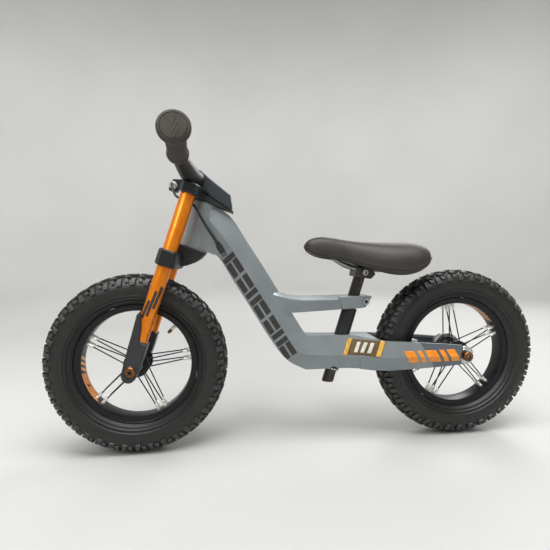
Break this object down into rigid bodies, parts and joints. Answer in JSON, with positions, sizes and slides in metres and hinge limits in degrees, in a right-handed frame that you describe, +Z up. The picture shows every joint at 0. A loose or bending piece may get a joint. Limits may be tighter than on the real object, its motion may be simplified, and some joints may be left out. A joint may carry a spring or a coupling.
{
  "type": "balance bike",
  "caption": "Child's balance bike: cast step-through frame, double-crown fork, knobbly air tyres, spoked wheels, hand brake and a saddle that slides on its post.",
  "frame": {"origin": "on the ground, midway between the two axles, in the middle plane", "axes": "+X to the rear wheel, +Z up, -Y to the rider's left"},
  "size_m": [0.946, 0.4296, 0.5511],
  "materials": {
    "cast_grey": "satin powder coat on a cast frame",
    "slate_paint": "satin dark slate paint",
    "satin_black": "satin black",
    "orange_anodised": "anodised, polished",
    "copper_anodised": "anodised fastener",
    "bright_aluminium": "machined",
    "steel": "zinc plated",
    "tyre_rubber": "knobbly tread, matt",
    "tube_rubber": "smooth",
    "grip_rubber": "soft moulded",
    "leatherette": "fine-grained vinyl over foam",
    "black_plastic": "moulded",
    "cable_black": "extruded cable casing",
    "valve_brass": "turned"
  },
  "bodies": {
    "frame": {"main_frame": "cast_grey", "seat_sleeve": "black_plastic", "seat_clamp_bolt": "steel", "cable_port_grommet": "grip_rubber", "lower_headset_bearing": "steel", "upper_headset_bearing": "steel", "lower_brake_cable": "cable_black", "rear_axle": "steel", "left_dropout": "bright_aluminium", "right_dropout": "bright_aluminium", "left_rear_axle_nut": "copper_anodised", "right_rear_axle_nut": "copper_anodised", "rear_brake_plate": "bright_aluminium", "rear_brake_cable": "cable_black"},
    "steering": {"lower_crown": "satin_black", "upper_crown": "slate_paint", "headset_cover": "black_plastic", "steerer_tube": "steel", "handlebar": "satin_black", "left_grip": "grip_rubber", "right_grip": "grip_rubber", "left_stanchion": "orange_anodised", "right_stanchion": "orange_anodised", "left_lower_leg": "satin_black", "right_lower_leg": "satin_black", "front_axle": "steel", "left_front_axle_bolt": "copper_anodised", "right_front_axle_bolt": "copper_anodised", "brake_perch": "satin_black", "lever_pivot_pin": "steel", "cable_adjuster": "bright_aluminium", "upper_brake_cable": "cable_black"},
    "front_wheel": {"front_tyre": "tyre_rubber", "front_inner_tube": "tube_rubber", "front_rim": "satin_black", "front_left_spokes": "satin_black", "front_right_spokes": "satin_black", "front_left_bearing": "steel", "front_right_bearing": "steel", "front_hub": "satin_black", "front_valve": "valve_brass"},
    "rear_wheel": {"rear_tyre": "tyre_rubber", "rear_inner_tube": "tube_rubber", "rear_rim": "satin_black", "rear_left_spokes": "satin_black", "rear_right_spokes": "satin_black", "rear_left_bearing": "steel", "rear_right_bearing": "steel", "rear_hub": "satin_black", "rear_valve": "valve_brass", "rear_brake_drum": "steel"},
    "saddle": {"saddle_cover": "leatherette", "saddle_base": "black_plastic", "seat_clamp": "bright_aluminium", "left_saddle_rail": "steel", "right_saddle_rail": "steel", "saddle_clamp_bolt": "steel", "seat_post": "satin_black"},
    "lever": {"brake_lever": "bright_aluminium"},
    "brake_arm": {"rear_brake_arm": "steel"}
  },
  "joints": [
    {"name": "steer", "type": "hinge", "parent": "frame", "child": "steering", "pos_m": [-0.19526, 0, 0.41583], "axis": [0.3206, 0, 0.9472], "range_deg": [-45, 45]},
    {"name": "front_wheel_spin", "type": "hinge", "parent": "steering", "child": "front_wheel", "pos_m": [-0.309, 0, 0.164], "axis": [0, 1, 0], "continuous": true},
    {"name": "rear_wheel_spin", "type": "hinge", "parent": "frame", "child": "rear_wheel", "pos_m": [0.309, 0, 0.164], "axis": [0, 1, 0], "continuous": true},
    {"name": "saddle_height", "type": "slide", "parent": "frame", "child": "saddle", "axis": [0.3024, 0, 0.9532], "range_m": [-0.02, 0.09]},
    {"name": "lever_pull", "type": "hinge", "parent": "steering", "child": "lever", "pos_m": [-0.24735, 0.095, 0.50208], "axis": [-0.3206, 0, -0.9472], "range_deg": [0, 14], "stiffness_Nm_per_rad": 0.8, "springref_deg": -17.19},
    {"name": "brake_arm_pull", "type": "hinge", "parent": "frame", "child": "brake_arm", "pos_m": [0.294, 0.036, 0.147], "axis": [0, 1, 0], "range_deg": [0, 15]}
  ],
  "couplings": [
    {"joint": "brake_arm_pull", "follows": "lever_pull", "ratio": 1}
  ]
}
